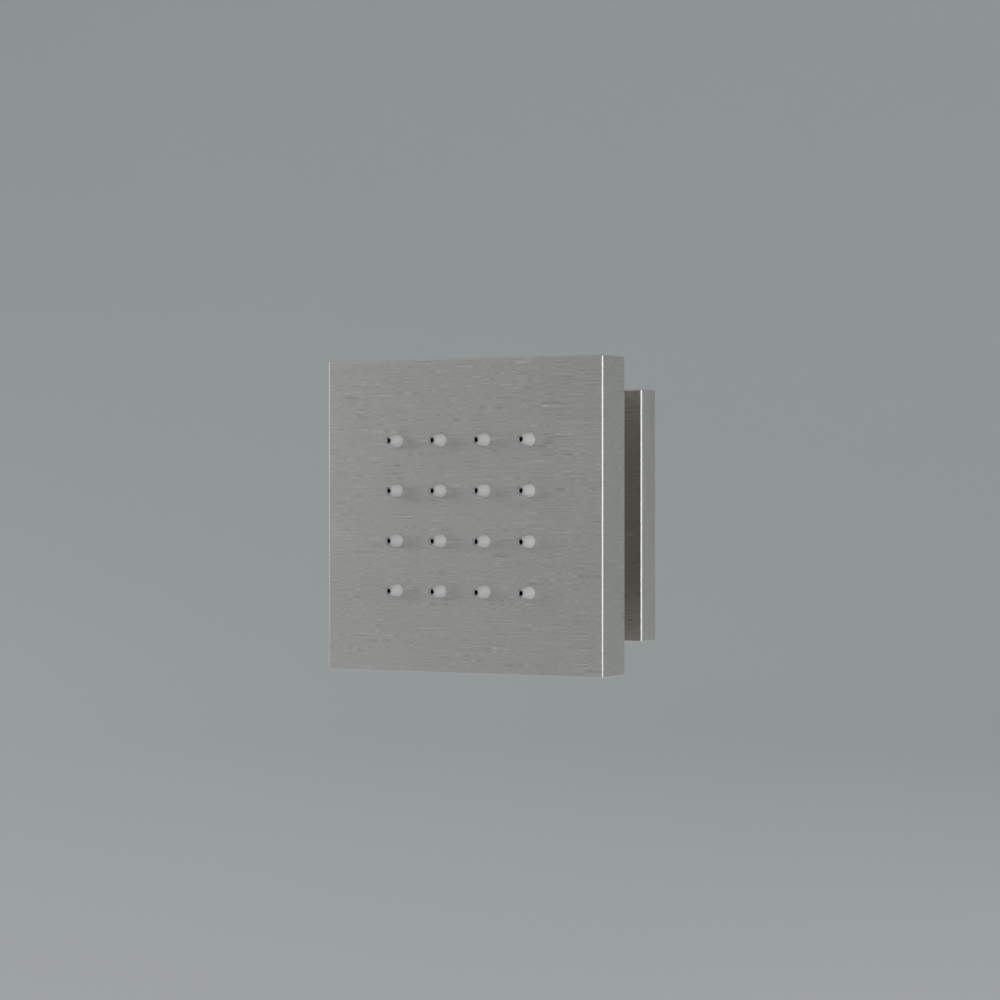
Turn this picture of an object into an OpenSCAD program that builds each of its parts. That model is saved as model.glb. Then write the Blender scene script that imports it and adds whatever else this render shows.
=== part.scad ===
// Square wall-mounted body-jet shower head on a ball swivel, with a square wall plate.
// Millimetres. The origin lies on the wall plane, on the axis of the inlet.
// +Z is up, +X is to the right as seen from the front, and the jets leave towards -Y.

/* [Head] */
// Side of the square head
head_w = 100; // [90:1:140]
// Thickness of the head, from its front face to its back edge
head_t = 15; // [14:0.5:22]
// Sheet thickness of the head's front and sides
shell_wall = 1.5; // [1:0.1:2]
// Radius along the outer edges of the head and of the wall plate
edge_r = 0.5; // [0.3:0.1:1]
// Thickness of the head's back cover
back_t = 1.5; // [1.2:0.1:2]
// Side of the tapped block welded into each corner of the head
block_w = 9; // [7:0.5:11]
// Clearance round what drops into the head
fit_gap = 0.3; // [0.1:0.05:0.5]

/* [Nozzles] */
// Nozzles along each side of the square grid
nozzle_count = 4; // [2:1:5]
// Distance between neighbouring nozzles
nozzle_pitch = 16; // [10:0.5:18]
// Length of a nozzle in front of the head's face
nozzle_out = 5.5; // [3:0.25:8]
// Diameter of a nozzle at the head's face
nozzle_root_d = 4.5; // [3.6:0.1:5.2]
// Diameter of a nozzle at its tip
nozzle_tip_d = 2.7; // [2:0.1:3]
// Diameter of the jet hole
jet_d = 1.6; // [0.8:0.1:1.6]
// Thickness of the soft mat that carries the nozzles
mat_t = 1.2; // [0.8:0.1:1.8]
// Clearance round a nozzle in the head's face
nozzle_gap = 0.05; // [0.03:0.01:0.1]

/* [Water chamber] */
// Thickness of the spray tray's floor
tray_floor = 2.2; // [1.5:0.1:3]
// Width of the spray tray's rim
tray_rim = 4; // [3.2:0.1:6]
// Thickness of the chamber's lid
lid_t = 2.5; // [2.2:0.1:3.5]
// Space behind the lid for the lock nut and the screw heads
service_gap = 1.8; // [1.6:0.1:2.6]
// Width of the chamber's seal
seal_w = 1.6; // [1:0.1:2]
// Depth of the chamber seal's groove
seal_t = 1.2; // [0.8:0.1:1.8]
// Distance of each chamber screw from the middle of its side
screw_offset = 20; // [12:1:28]
// Thread diameter of the chamber screws
screw_d = 2.2; // [1.8:0.1:2.6]
// Width of the ribs on the lid
rib_w = 2; // [1.2:0.1:3]

/* [Wall plate] */
// Side of the square wall plate
plate_w = 82; // [70:1:110]
// Thickness of the wall plate
plate_t = 10; // [9:0.5:16]
// Wall of the plate's sides
plate_wall = 4; // [3.2:0.1:6]
// Wall of the plate's front
plate_face = 2.5; // [2.2:0.1:3]
// Width of the gasket behind the plate's edge
gasket_w = 2; // [1.2:0.1:2.4]
// Thickness of that gasket
gasket_t = 1.5; // [1:0.1:3]

/* [Inlet] */
// Major diameter of the inlet's pipe thread
thread_d = 20.955; // [20.9:0.005:21]
// Length of the inlet thread behind the wall plane
thread_l = 14; // [10:1:24]
// Hexagon of the wall nipple, across its flats
nipple_hex = 24; // [23:0.5:27]
// Thickness of the nipple's hexagon
nipple_hex_t = 5.5; // [3:0.5:6.2]
// Diameter of the nipple's collar in the wall plate
collar_d = 24; // [21:0.5:27]
// Diameter of the strainer and the regulator in the nipple's mouth
cartridge_d = 16; // [13:0.5:17]
// Thickness of the strainer
filter_t = 2; // [1.5:0.1:3]
// Thickness of the flow regulator
regulator_t = 3.5; // [2.5:0.1:5]

/* [Swivel] */
// Distance between the wall plate and the back of the head
stand_off = 30.5; // [30:0.5:44]
// Height of the ball's centre above the wall plate
ball_rise = 17; // [16:0.5:18]
// Diameter of the ball
ball_d = 18; // [16:0.5:18.5]
// Diameter of the neck behind the ball
neck_d = 9; // [8:0.1:9.6]
// Bore of the waterway through the ball
water_d = 6; // [4:0.1:6.4]
// Thread diameter of the stem in the wall nipple
shank_d = 16.66; // [14:0.01:17]
// Length of the stem's thread
shank_l = 8; // [6:0.5:8.4]
// Hexagon of the stem, across its flats
stem_hex = 27; // [26:0.5:30]
// Thickness of the stem's hexagon
stem_hex_t = 3.5; // [2.5:0.1:4.2]
// Thickness of the washer under the stem's hexagon
washer_t = 0.6; // [0.4:0.1:1]
// Clearance between the ball and what slides on it
swivel_gap = 0.2; // [0.15:0.01:0.25]
// Wall of the friction ring
ring_t = 1.4; // [1:0.1:1.6]
// Distance between the friction ring's two halves
ring_split = 0.6; // [0.4:0.1:1]
// Outer diameter of the swivel nut
nut_d = 33; // [32:0.5:36]
// Grip flutes round the swivel nut
nut_flutes = 18; // [8:1:24]
// Thread diameter between the boss and the swivel nut
boss_d = 26; // [25.4:0.1:27]
// Bore of the boss, which holds the seal
boss_bore = 22.4; // [22.2:0.1:23]
// Hexagon of the boss, across its flats
boss_hex = 30; // [28:0.5:32]
// Thread diameter of the boss's tail
tail_d = 18; // [16.5:0.1:19]
// Diameter of the boss's spigot in the lid
spigot_d = 14; // [12.6:0.1:15]
// Bore of the boss's tail
tail_bore = 9; // [6:0.1:9.6]
// Thickness of the carrier behind the cup seal
carrier_t = 1; // [0.8:0.1:1.4]
// Free height of the wave spring
spring_h = 1.7; // [1.4:0.1:2]
// Thickness of the wave spring's strip
spring_t = 0.4; // [0.3:0.05:0.6]
// Waves round the spring
spring_waves = 3; // [2:1:5]

/* [Hidden] */
$fn = 96;

// Clearances and small allowances
thread_gap = 0.08;
tapped_gap = 0.02;
face_gap = 0.05;
cut = 1;

// Places along the axis, counted outwards from the wall
head_back = plate_t + stand_off;
head_front = head_back + head_t;
mat_front = head_front - shell_wall;
mat_back = mat_front - mat_t;
cover_front = head_back + back_t;
lid_back = cover_front + service_gap;
lid_front = lid_back + lid_t;
tray_back = lid_front;
chamber_h = mat_back - tray_floor - tray_back;
ball_z = plate_t + ball_rise;

// Plan of the head's inside
inner_w = head_w - 2 * shell_wall;
core_w = inner_w - 2 * fit_gap;
notch_w = block_w;
block_weld = shell_wall / 2;
nozzle_inlet_r = 1.3;
nozzle_reach = (nozzle_count - 1) / 2 * nozzle_pitch;
nozzle_places = [for (i = [0:nozzle_count - 1], j = [0:nozzle_count - 1])
    [i * nozzle_pitch - nozzle_reach, j * nozzle_pitch - nozzle_reach]];
block_place = inner_w / 2 - block_w / 2;
cover_screw_r = 1.5;
cover_screw_l = 7;
cover_head_r = 2.9;
cover_head_t = 1.1;
screw_r = screw_d / 2;
screw_head_r = screw_d;
screw_head_t = 1.4;
screw_spare = 0.4;
screw_l = lid_t + chamber_h - screw_spare;
screw_post_wall = 2;
screw_post_r = screw_r + screw_post_wall;
screw_place = core_w / 2 - tray_rim - screw_r;

// Swivel radii and heights, counted from the ball's centre
ball_r = ball_d / 2;
neck_r = neck_d / 2;
seat_r = ball_r + swivel_gap;
ring_r = seat_r + ring_t;
cage_r = ring_r + swivel_gap;
ring_low = -4.2;
ring_high = -0.4;
mouth_r = ball_r + swivel_gap;
mouth_z = -sqrt(cage_r * cage_r - mouth_r * mouth_r);
nut_lip = 1.6;
nut_rear_w = 2.2;
nut_slope_h = 4.6;
nut_to_hex = 0.6;
nut_rear_z = mouth_z - nut_lip;
nut_rear_r = mouth_r + nut_rear_w;
nut_slope_z = nut_rear_z + nut_slope_h;
head_reach = stand_off - ball_rise;
seal_inner_angle = 44;
seal_outer_angle = 70;
seal_web = 1.6;
boss_overlap = 0.7;
seal_in_r = seat_r * sin(seal_inner_angle);
seal_rear_z = seat_r * cos(seal_outer_angle);
seal_front_z = seat_r * cos(seal_inner_angle) + seal_web;
carrier_front_z = seal_front_z + carrier_t;
boss_floor_z = carrier_front_z + spring_h + 2 * face_gap;
boss_rear_z = seal_rear_z - boss_overlap;
boss_hex_z = boss_floor_z;
nut_front_z = boss_hex_z - nut_to_hex;
boss_gap = 0.1;
seal_out_r = boss_bore / 2 - boss_gap;
lid_hole_gap = 0.15;
spigot_groove = 1.2;
boss_ring_r = (spigot_groove + lid_hole_gap) / 2;
lock_nut_wall = 3;
lock_nut_flats = tail_d + 2 * lock_nut_wall;

// Inlet places, counted outwards from the wall
hex_start = 0.6;
collar_start = hex_start + nipple_hex_t;
collar_set_back = 0.2;
collar_end = plate_t - collar_set_back;
flange_start = plate_t + washer_t;
flange_end = flange_start + stem_hex_t;
shank_start = flange_start - shank_l;
stem_seal_t = 1.3;
stem_seal_lap = 1.2;
slide_gap = 0.1;
socket_start = shank_start - stem_seal_t;
hole_gap = 0.2;
plate_hole_r = collar_d / 2 + hole_gap;
washer_seat = 1.3;
washer_r = plate_hole_r + washer_seat;
o_ring_r = 0.6;
shank_r = shank_d / 2;
thread_r = thread_d / 2;
cartridge_seat = 2;
nipple_bore_r = cartridge_d / 2 - cartridge_seat;
cartridge_r = cartridge_d / 2;
cartridge_l = filter_t + regulator_t;

// Turns a shape drawn along +Z so that it points out of the wall
module outwards() {
    rotate([90, 0, 0])
        children();
}

module at_ball() {
    outwards()
        translate([0, 0, ball_z])
            children();
}

// A round bar between two heights
module bar(r, low, high) {
    translate([0, 0, low])
        cylinder(r = r, h = high - low);
}

module tube(outer_r, inner_r, low, high) {
    difference() {
        bar(outer_r, low, high);
        bar(inner_r, low - cut, high + cut);
    }
}

// A hexagonal bar given across its flats, with turned chamfers at both ends
module hex_bar(flats, low, high) {
    corner_r = flats / 2 / cos(30);
    chamfer_share = 0.7;
    chamfer = (corner_r - flats / 2) * chamfer_share;
    intersection() {
        translate([0, 0, low])
            cylinder(r = corner_r, h = high - low, $fn = 6);
        rotate_extrude()
            polygon([
                [0, low], [corner_r - chamfer, low], [corner_r, low + chamfer / 2],
                [corner_r, high - chamfer / 2], [corner_r - chamfer, high], [0, high]
            ]);
    }
}

// A ring of round section
module o_ring(centre_r, section_r, z) {
    translate([0, 0, z])
        rotate_extrude()
            translate([centre_r, 0])
                circle(r = section_r, $fn = 48);
}

// A square with its four corners rounded by true arcs
module soft_square(w, r) {
    square([w, w - 2 * r], center = true);
    square([w - 2 * r, w], center = true);
    for (x = [-1, 1], y = [-1, 1])
        translate([x * (w / 2 - r), y * (w / 2 - r)])
            circle(r = r, $fn = 32);
}

// The side view of a slab whose two front corners are rounded
module slab_profile(w, t, r) {
    translate([-w / 2, 0])
        square([w, t - r]);
    translate([-w / 2 + r, 0])
        square([w - 2 * r, t]);
    for (x = [-1, 1])
        translate([x * (w / 2 - r), t - r])
            circle(r = r, $fn = 32);
}

// A square slab with a rounded front edge and rounded corners
module soft_slab(w, t, r) {
    intersection() {
        linear_extrude(t)
            soft_square(w, r);
        rotate([90, 0, 0])
            linear_extrude(w + 2 * cut, center = true)
                slab_profile(w, t, r);
        rotate([90, 0, 90])
            linear_extrude(w + 2 * cut, center = true)
                slab_profile(w, t, r);
    }
}

module square_bar(w, low, high) {
    translate([0, 0, low])
        linear_extrude(high - low)
            square(w, center = true);
}

// The plan of what fills the head, notched for the corner blocks and drawn in by an inset
module core_plan(inset = 0) {
    w = core_w - 2 * inset;
    difference() {
        square(w, center = true);
        for (x = [-1, 1], y = [-1, 1])
            translate([x * w / 2, y * w / 2])
                square(2 * notch_w, center = true);
    }
}

module core_slab(inset, low, high) {
    translate([0, 0, low])
        linear_extrude(high - low)
            core_plan(inset);
}

module at_nozzles() {
    for (p = nozzle_places)
        translate([p[0], p[1], 0])
            children();
}

module at_corners() {
    for (x = [-1, 1], y = [-1, 1])
        translate([x * block_place, y * block_place, 0])
            children();
}

module at_chamber_screws() {
    for (a = [0:90:270], x = [-1, 1])
        rotate([0, 0, a])
            translate([x * screw_offset, screw_place, 0])
                children();
}

// Wall side

module wall_plate() {
    color("#8f9191")
        outwards()
            difference() {
                soft_slab(plate_w, plate_t, edge_r);
                square_bar(plate_w - 2 * plate_wall, -cut, plate_t - plate_face);
                square_bar(plate_w - 2 * (plate_wall - gasket_w), -cut, gasket_t);
                bar(plate_hole_r, 0, plate_t + cut);
            }
}

module wall_gasket() {
    outer_w = plate_w - 2 * (plate_wall - gasket_w);
    color("#2a2a2c")
        outwards()
            difference() {
                square_bar(outer_w - 2 * face_gap, 0, gasket_t);
                square_bar(plate_w - 2 * plate_wall, -cut, gasket_t + cut);
            }
}

module plate_o_ring() {
    color("#1f1f21")
        outwards()
            o_ring(plate_hole_r - o_ring_r, o_ring_r, plate_t - plate_face / 2);
}

module wall_nipple() {
    groove_z = plate_t - plate_face / 2;
    groove_r = plate_hole_r - 2 * o_ring_r;
    lead = 1;
    color("#b98f4a")
        outwards()
            difference() {
                union() {
                    bar(thread_r, -thread_l + lead, hex_start + cut);
                    translate([0, 0, -thread_l])
                        cylinder(r1 = thread_r - lead, r2 = thread_r, h = lead);
                    hex_bar(nipple_hex, hex_start, collar_start);
                    bar(collar_d / 2, collar_start - cut, collar_end);
                }
                bar(cartridge_r, -thread_l - cut, -thread_l + cartridge_l);
                bar(nipple_bore_r, -thread_l, socket_start + cut);
                bar(shank_r + thread_gap, socket_start, plate_t + cut);
                tube(collar_d / 2 + cut, groove_r, groove_z - o_ring_r, groove_z + o_ring_r);
            }
}

// A moulded strainer: a rim with a square grid across it
module inlet_filter() {
    rim = 1.2;
    strip = 0.6;
    step = 1.8;
    outer_r = cartridge_r - thread_gap;
    reach = floor(outer_r / step);
    color("#d8d8d4")
        outwards()
            translate([0, 0, -thread_l]) {
                tube(outer_r, outer_r - rim, 0, filter_t);
                intersection() {
                    bar(outer_r - rim / 2, 0, filter_t / 2);
                    for (i = [-reach:reach], a = [0, 90])
                        rotate([0, 0, a])
                            translate([i * step - strip / 2, -outer_r, 0])
                                cube([strip, 2 * outer_r, filter_t / 2]);
                }
            }
}

// A disc with a hub, a ring channel and eight passages under it
module flow_regulator() {
    outer_r = cartridge_r - thread_gap;
    channel_r = outer_r * 0.62;
    channel_half_w = 1.1;
    channel_in_r = channel_r - channel_half_w;
    channel_out_r = channel_r + channel_half_w;
    channel_floor = regulator_t * 0.45;
    passage_r = 0.7;
    color("#6f9fb4")
        outwards()
            translate([0, 0, -thread_l + filter_t])
                difference() {
                    bar(outer_r, 0, regulator_t);
                    tube(channel_out_r, channel_in_r, channel_floor, regulator_t + cut);
                    for (a = [0:45:315])
                        rotate([0, 0, a])
                            translate([channel_r, 0, -cut])
                                cylinder(r = passage_r, h = regulator_t + 2 * cut, $fn = 24);
                }
}

module stem_seal() {
    color("#2b2b2d")
        outwards()
            tube(shank_r - slide_gap, water_d / 2 + stem_seal_lap, socket_start, shank_start);
}

module flange_washer() {
    color("#e6e4dc")
        outwards()
            tube(washer_r, shank_r + slide_gap, plate_t, flange_start);
}

module ball_stem() {
    root_w = 2;
    root_h = 1.5;
    low = flange_end - ball_z;
    color("#c9cbcc")
        at_ball()
            difference() {
                union() {
                    sphere(r = ball_r);
                    bar(neck_r, low - cut, 0);
                    translate([0, 0, low])
                        cylinder(r1 = neck_r + root_w, r2 = neck_r, h = root_h);
                    hex_bar(stem_hex, flange_start - ball_z, low);
                    bar(shank_r, shank_start - ball_z, low - cut);
                }
                bar(water_d / 2, shank_start - ball_z - cut, ball_r + cut);
            }
}

// Swivel

// Half of the friction ring: a band between two spheres, cut at the middle plane
module friction_half(side) {
    intersection() {
        difference() {
            sphere(r = ring_r);
            sphere(r = seat_r);
        }
        translate([side > 0 ? ring_split / 2 : -ring_r - cut, -ring_r - cut, ring_low])
            cube([ring_r + cut - ring_split / 2, 2 * (ring_r + cut), ring_high - ring_low]);
    }
}

module friction_ring_left() {
    color("#ece9df")
        at_ball()
            friction_half(-1);
}

module friction_ring_right() {
    color("#ece9df")
        at_ball()
            friction_half(1);
}

module cup_seal() {
    color("#303033")
        at_ball()
            difference() {
                tube(seal_out_r, seal_in_r, seal_rear_z, seal_front_z);
                sphere(r = seat_r);
            }
}

module seal_carrier() {
    color("#e9e7e0")
        at_ball()
            tube(seal_out_r, seal_in_r, seal_front_z, carrier_front_z);
}

// Height of the wave spring's middle at an angle
function wave(a) = (spring_h - spring_t) / 2 * sin(spring_waves * a);

// A flat strip bent into waves and closed into a ring
module wave_ring(inner_r, outer_r, steps) {
    corners = [[inner_r, -1], [outer_r, -1], [outer_r, 1], [inner_r, 1]];
    points = [for (i = [0:steps - 1], c = corners)
        let (a = i * 360 / steps)
        [c[0] * cos(a), c[0] * sin(a), wave(a) + c[1] * spring_t / 2]];
    faces = [for (i = [0:steps - 1], k = [0:3])
        let (next = (i + 1) % steps, m = (k + 1) % 4)
        [4 * i + k, 4 * i + m, 4 * next + m, 4 * next + k]];
    polyhedron(points = points, faces = faces, convexity = 4);
}

module wave_spring() {
    spring_in = 1.4;
    spring_out = 0.3;
    color("#b9bcc0")
        at_ball()
            translate([0, 0, carrier_front_z + face_gap + spring_h / 2])
                wave_ring(seal_in_r + spring_in, seal_out_r - spring_out, 72);
}

module swivel_nut() {
    outer_r = nut_d / 2;
    flute_r = 1.8;
    flute_depth = 0.7;
    flute_overrun = 4;
    flute_l = nut_front_z - nut_slope_z + 2 * flute_overrun;
    bevel = 0.6;
    thread_relief = 0.3;
    color("#c4c6c7")
        at_ball()
            difference() {
                rotate_extrude()
                    polygon([
                        [0, nut_rear_z], [nut_rear_r, nut_rear_z], [outer_r, nut_slope_z],
                        [outer_r, nut_front_z - bevel], [outer_r - bevel, nut_front_z],
                        [0, nut_front_z]
                    ]);
                sphere(r = cage_r);
                bar(mouth_r, nut_rear_z - cut, 0);
                bar(cage_r, 0, boss_rear_z);
                bar(boss_d / 2 + thread_gap, boss_rear_z - thread_relief, nut_front_z + cut);
                for (i = [0:nut_flutes - 1])
                    rotate([0, 0, i * 360 / nut_flutes])
                        translate([outer_r + flute_r - flute_depth, 0, nut_slope_z - flute_overrun])
                            cylinder(r = flute_r, h = flute_l, $fn = 32);
            }
}

module swivel_boss() {
    groove_r = spigot_d / 2 - spigot_groove;
    tail_end = lid_back - ball_z - face_gap;
    color("#b98f4a")
        at_ball()
            difference() {
                union() {
                    bar(boss_d / 2, boss_rear_z, boss_hex_z + cut);
                    hex_bar(boss_hex, boss_hex_z, head_reach);
                    bar(tail_d / 2, head_reach - cut, tail_end);
                    bar(spigot_d / 2, tail_end - cut, lid_front - ball_z);
                }
                bar(boss_bore / 2, boss_rear_z - cut, boss_floor_z);
                bar(tail_bore / 2, boss_floor_z - cut, lid_front - ball_z + cut);
                translate([0, 0, lid_back + lid_t / 2 - ball_z])
                    tube(spigot_d / 2 + cut, groove_r, -boss_ring_r, boss_ring_r);
            }
}

module boss_o_ring() {
    color("#1f1f21")
        outwards()
            o_ring(spigot_d / 2 + lid_hole_gap - boss_ring_r, boss_ring_r, lid_back + lid_t / 2);
}

module boss_lock_nut() {
    color("#b98f4a")
        outwards()
            difference() {
                hex_bar(lock_nut_flats, cover_front, lid_back - 2 * face_gap);
                bar(tail_d / 2 + thread_gap, cover_front - cut, lid_back + cut);
            }
}

// Head

module back_cover() {
    sink_r = cover_head_r + face_gap;
    sink_end_r = cover_screw_r + face_gap;
    color("#8f9191")
        outwards()
            difference() {
                square_bar(inner_w - 2 * face_gap, head_back, cover_front);
                bar(tail_d / 2 + slide_gap, head_back - cut, cover_front + cut);
                at_corners() {
                    bar(cover_screw_r + slide_gap, head_back - cut, cover_front + cut);
                    translate([0, 0, head_back])
                        cylinder(r1 = sink_r, r2 = sink_end_r, h = cover_head_t);
                }
            }
}

module cover_screws() {
    socket_r = 1.1;
    socket_depth = 0.9;
    color("#b6b8ba")
        outwards()
            at_corners()
                difference() {
                    union() {
                        translate([0, 0, head_back])
                            cylinder(r1 = cover_head_r, r2 = cover_screw_r, h = cover_head_t);
                        bar(cover_screw_r, head_back + cover_head_t, head_back + cover_screw_l);
                    }
                    translate([0, 0, head_back - cut])
                        cylinder(r = socket_r, h = cut + socket_depth, $fn = 6);
                }
}

module head_shell() {
    tap_spare = 1;
    tapped_l = cover_screw_l + tap_spare;
    color("#8f9191")
        outwards()
            difference() {
                union() {
                    difference() {
                        translate([0, 0, head_back])
                            soft_slab(head_w, head_t, edge_r);
                        square_bar(inner_w, head_back - cut, mat_front);
                    }
                    for (x = [-1, 1], y = [-1, 1])
                        translate([x * (block_place + block_weld / 2), y * (block_place + block_weld / 2), 0])
                            square_bar(block_w + block_weld, cover_front, mat_front + block_weld);
                }
                at_nozzles()
                    bar(nozzle_root_d / 2 + nozzle_gap, mat_front - cut, head_front + cut);
                at_corners()
                    bar(cover_screw_r + tapped_gap, cover_front - cut, head_back + tapped_l);
            }
}

// Outline of one nozzle: a short straight root, a slightly domed taper and a rounded tip
function nozzle_outline(steps = 8) = let (
    root_r = nozzle_root_d / 2,
    tip_r = nozzle_tip_d / 2,
    straight = nozzle_out * 0.05,
    rim_r = 0.2,
    dome = 1.1,
    taper = nozzle_out - straight - rim_r
) concat(
    [[0, -shell_wall - mat_t / 2], [root_r, -shell_wall - mat_t / 2]],
    [for (i = [0:steps])
        let (s = i / steps)
        [tip_r + (root_r - tip_r) * (1 - pow(s, dome)), straight + taper * s]],
    [for (i = [1:4])
        let (a = i * 90 / 4)
        [tip_r - rim_r * (1 - cos(a)), nozzle_out - rim_r + rim_r * sin(a)]],
    [[0, nozzle_out]]
);

module nozzle_mat() {
    neck_z = head_front + nozzle_out * 0.3;
    color("#cfd0cf")
        outwards()
            difference() {
                union() {
                    core_slab(0, mat_back, mat_front);
                    at_nozzles()
                        translate([0, 0, head_front])
                            rotate_extrude($fn = 48)
                                polygon(nozzle_outline());
                }
                at_nozzles() {
                    bar(jet_d / 2, mat_back, head_front + nozzle_out + cut);
                    translate([0, 0, mat_back - cut])
                        cylinder(r1 = nozzle_inlet_r, r2 = jet_d / 2, h = neck_z - mat_back + cut);
                }
            }
}

module spray_tray() {
    color("#4b4d50")
        outwards()
            difference() {
                union() {
                    core_slab(0, mat_back - tray_floor, mat_back);
                    difference() {
                        core_slab(0, tray_back, mat_back);
                        core_slab(tray_rim, tray_back - cut, mat_back);
                    }
                    at_chamber_screws()
                        bar(screw_post_r, tray_back, mat_back - tray_floor / 2);
                }
                difference() {
                    core_slab((tray_rim - seal_w) / 2, tray_back - cut, tray_back + seal_t);
                    core_slab((tray_rim + seal_w) / 2, tray_back - 2 * cut, tray_back + seal_t + cut);
                }
                at_nozzles()
                    bar(nozzle_inlet_r, mat_back - tray_floor - cut, mat_back + cut);
                at_chamber_screws()
                    bar(screw_r + tapped_gap, tray_back - cut, tray_back + chamber_h - screw_spare / 4);
            }
}

module chamber_seal() {
    color("#1f1f21")
        outwards()
            difference() {
                core_slab((tray_rim - seal_w) / 2 + face_gap, tray_back, tray_back + seal_t);
                core_slab((tray_rim + seal_w) / 2 - face_gap, tray_back - cut, tray_back + seal_t + cut);
            }
}

module chamber_lid() {
    rib_gap = 1;
    rib_start = lock_nut_flats / 2 / cos(30) + rib_gap;
    rib_end = core_w / 2 - tray_rim - 2 * rib_gap;
    color("#55585b")
        outwards()
            difference() {
                union() {
                    core_slab(0, lid_back, lid_front);
                    for (a = [0:90:270])
                        rotate([0, 0, a])
                            translate([rib_start, -rib_w / 2, cover_front])
                                cube([rib_end - rib_start, rib_w, service_gap + cut]);
                }
                bar(spigot_d / 2 + lid_hole_gap, lid_back - cut, lid_front + cut);
                at_chamber_screws()
                    bar(screw_r + lid_hole_gap, lid_back - cut, lid_front + cut);
            }
}

module chamber_screws() {
    slot_w = 0.5;
    slot_depth = 0.8;
    color("#b6b8ba")
        outwards()
            at_chamber_screws()
                difference() {
                    union() {
                        bar(screw_head_r, lid_back - screw_head_t, lid_back);
                        bar(screw_r, lid_back - cut / 2, lid_back + screw_l);
                    }
                    for (a = [0, 90])
                        rotate([0, 0, a])
                            translate([-screw_r, -slot_w / 2, lid_back - screw_head_t - cut])
                                cube([screw_d, slot_w, cut + slot_depth]);
                }
}

wall_plate();
wall_gasket();
plate_o_ring();
wall_nipple();
inlet_filter();
flow_regulator();
stem_seal();
flange_washer();
ball_stem();
friction_ring_left();
friction_ring_right();
cup_seal();
seal_carrier();
wave_spring();
swivel_nut();
swivel_boss();
boss_lock_nut();
boss_o_ring();
back_cover();
cover_screws();
head_shell();
nozzle_mat();
spray_tray();
chamber_seal();
chamber_lid();
chamber_screws();
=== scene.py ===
# Square wall-mounted body-jet shower head on a ball swivel, with its wall plate and a stage.
# Metres. The origin lies on the wall plane, +Z is up, and the jets leave towards -Y.
import math

import bmesh
import bpy
from mathutils import Matrix, Vector


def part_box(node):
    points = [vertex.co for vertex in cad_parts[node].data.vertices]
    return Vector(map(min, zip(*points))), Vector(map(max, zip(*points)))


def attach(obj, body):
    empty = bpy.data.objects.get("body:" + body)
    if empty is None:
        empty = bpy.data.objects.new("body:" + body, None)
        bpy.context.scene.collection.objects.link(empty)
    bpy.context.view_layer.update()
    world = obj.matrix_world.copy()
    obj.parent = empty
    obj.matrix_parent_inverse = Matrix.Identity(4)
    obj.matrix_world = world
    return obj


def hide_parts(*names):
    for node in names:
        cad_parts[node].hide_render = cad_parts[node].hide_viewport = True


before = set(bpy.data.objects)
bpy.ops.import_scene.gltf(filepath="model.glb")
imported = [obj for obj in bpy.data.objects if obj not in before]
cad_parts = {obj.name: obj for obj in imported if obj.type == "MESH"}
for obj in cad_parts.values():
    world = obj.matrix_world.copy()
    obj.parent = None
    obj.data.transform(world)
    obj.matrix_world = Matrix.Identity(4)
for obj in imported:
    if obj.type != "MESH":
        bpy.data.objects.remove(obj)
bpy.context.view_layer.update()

bl_info = {
    "name": "Square body-jet shower head",
    "version": (1, 0, 0),
    "blender": (4, 5, 0),
    "location": "View3D > Sidebar > Shower",
    "description": "Builds a square shower head on a ball swivel, its wall plate and a stage",
    "category": "Add Mesh",
}

# Pieces are drawn in millimetres along +Z, which is then turned to point out of the wall
MM = 1000.0
TO_ROW = Matrix.Rotation(math.radians(90), 4, "X") @ Matrix.Scale(1 / MM, 4)
MERGE_MM = 0.002
SHARP = math.radians(38)
ROUND = math.inf


def span(node, axis):
    """Size of a CAD node along an axis, in metres."""
    low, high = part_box(node)
    return high[axis] - low[axis]


def reach(node):
    """How far a CAD node starts and ends in front of the wall, in millimetres."""
    low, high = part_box(node)
    return -high.y * MM, -low.y * MM


def length(name, about, default):
    return bpy.props.FloatProperty(
        name=name, description=about, default=default, min=0, unit="LENGTH", subtype="DISTANCE", precision=5
    )


def colour(name, about, default):
    return bpy.props.FloatVectorProperty(
        name=name, description=about, default=default, size=4, min=0, max=1, subtype="COLOR"
    )


def amount(name, about, default):
    return bpy.props.FloatProperty(name=name, description=about, default=default, min=0, precision=3)


class ShowerSizes(bpy.types.PropertyGroup):
    head_w: length("Head width", "Side of the square head", span("head_shell", 0))
    shell_wall: length("Head sheet", "Sheet thickness of the head's front and sides", 0.0015)
    edge_r: length("Edge radius", "Radius along the outer edges of head and wall plate", 0.0005)
    nozzle_count: bpy.props.IntProperty(
        name="Nozzles a side", description="Nozzles along each side of the grid", default=4, min=1
    )
    nozzle_pitch: length("Nozzle pitch", "Distance between neighbouring nozzles", 0.016)
    nozzle_root_d: length("Nozzle root", "Diameter of a nozzle at the head's face", 0.0045)
    nozzle_tip_d: length("Nozzle tip", "Diameter of a nozzle at its tip", 0.0027)
    jet_d: length("Jet hole", "Diameter of the jet hole", 0.0016)
    plate_w: length("Plate width", "Side of the square wall plate", span("wall_plate", 0))
    plate_wall: length("Plate wall", "Wall of the plate's sides", 0.004)
    plate_face: length("Plate face", "Wall of the plate's front", 0.0025)
    nut_d: length("Nut diameter", "Outer diameter of the swivel nut", 0.033)
    nut_flutes: bpy.props.IntProperty(
        name="Nut flutes", description="Grip flutes round the swivel nut", default=18, min=3
    )
    ball_d: length("Ball diameter", "Diameter of the swivel's ball", 0.018)
    thread_pitch: length("Thread pitch", "Pitch of the inlet's pipe thread", 0.001814)
    thread_depth: length("Thread depth", "Depth of the inlet's pipe thread", 0.001162)


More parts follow.
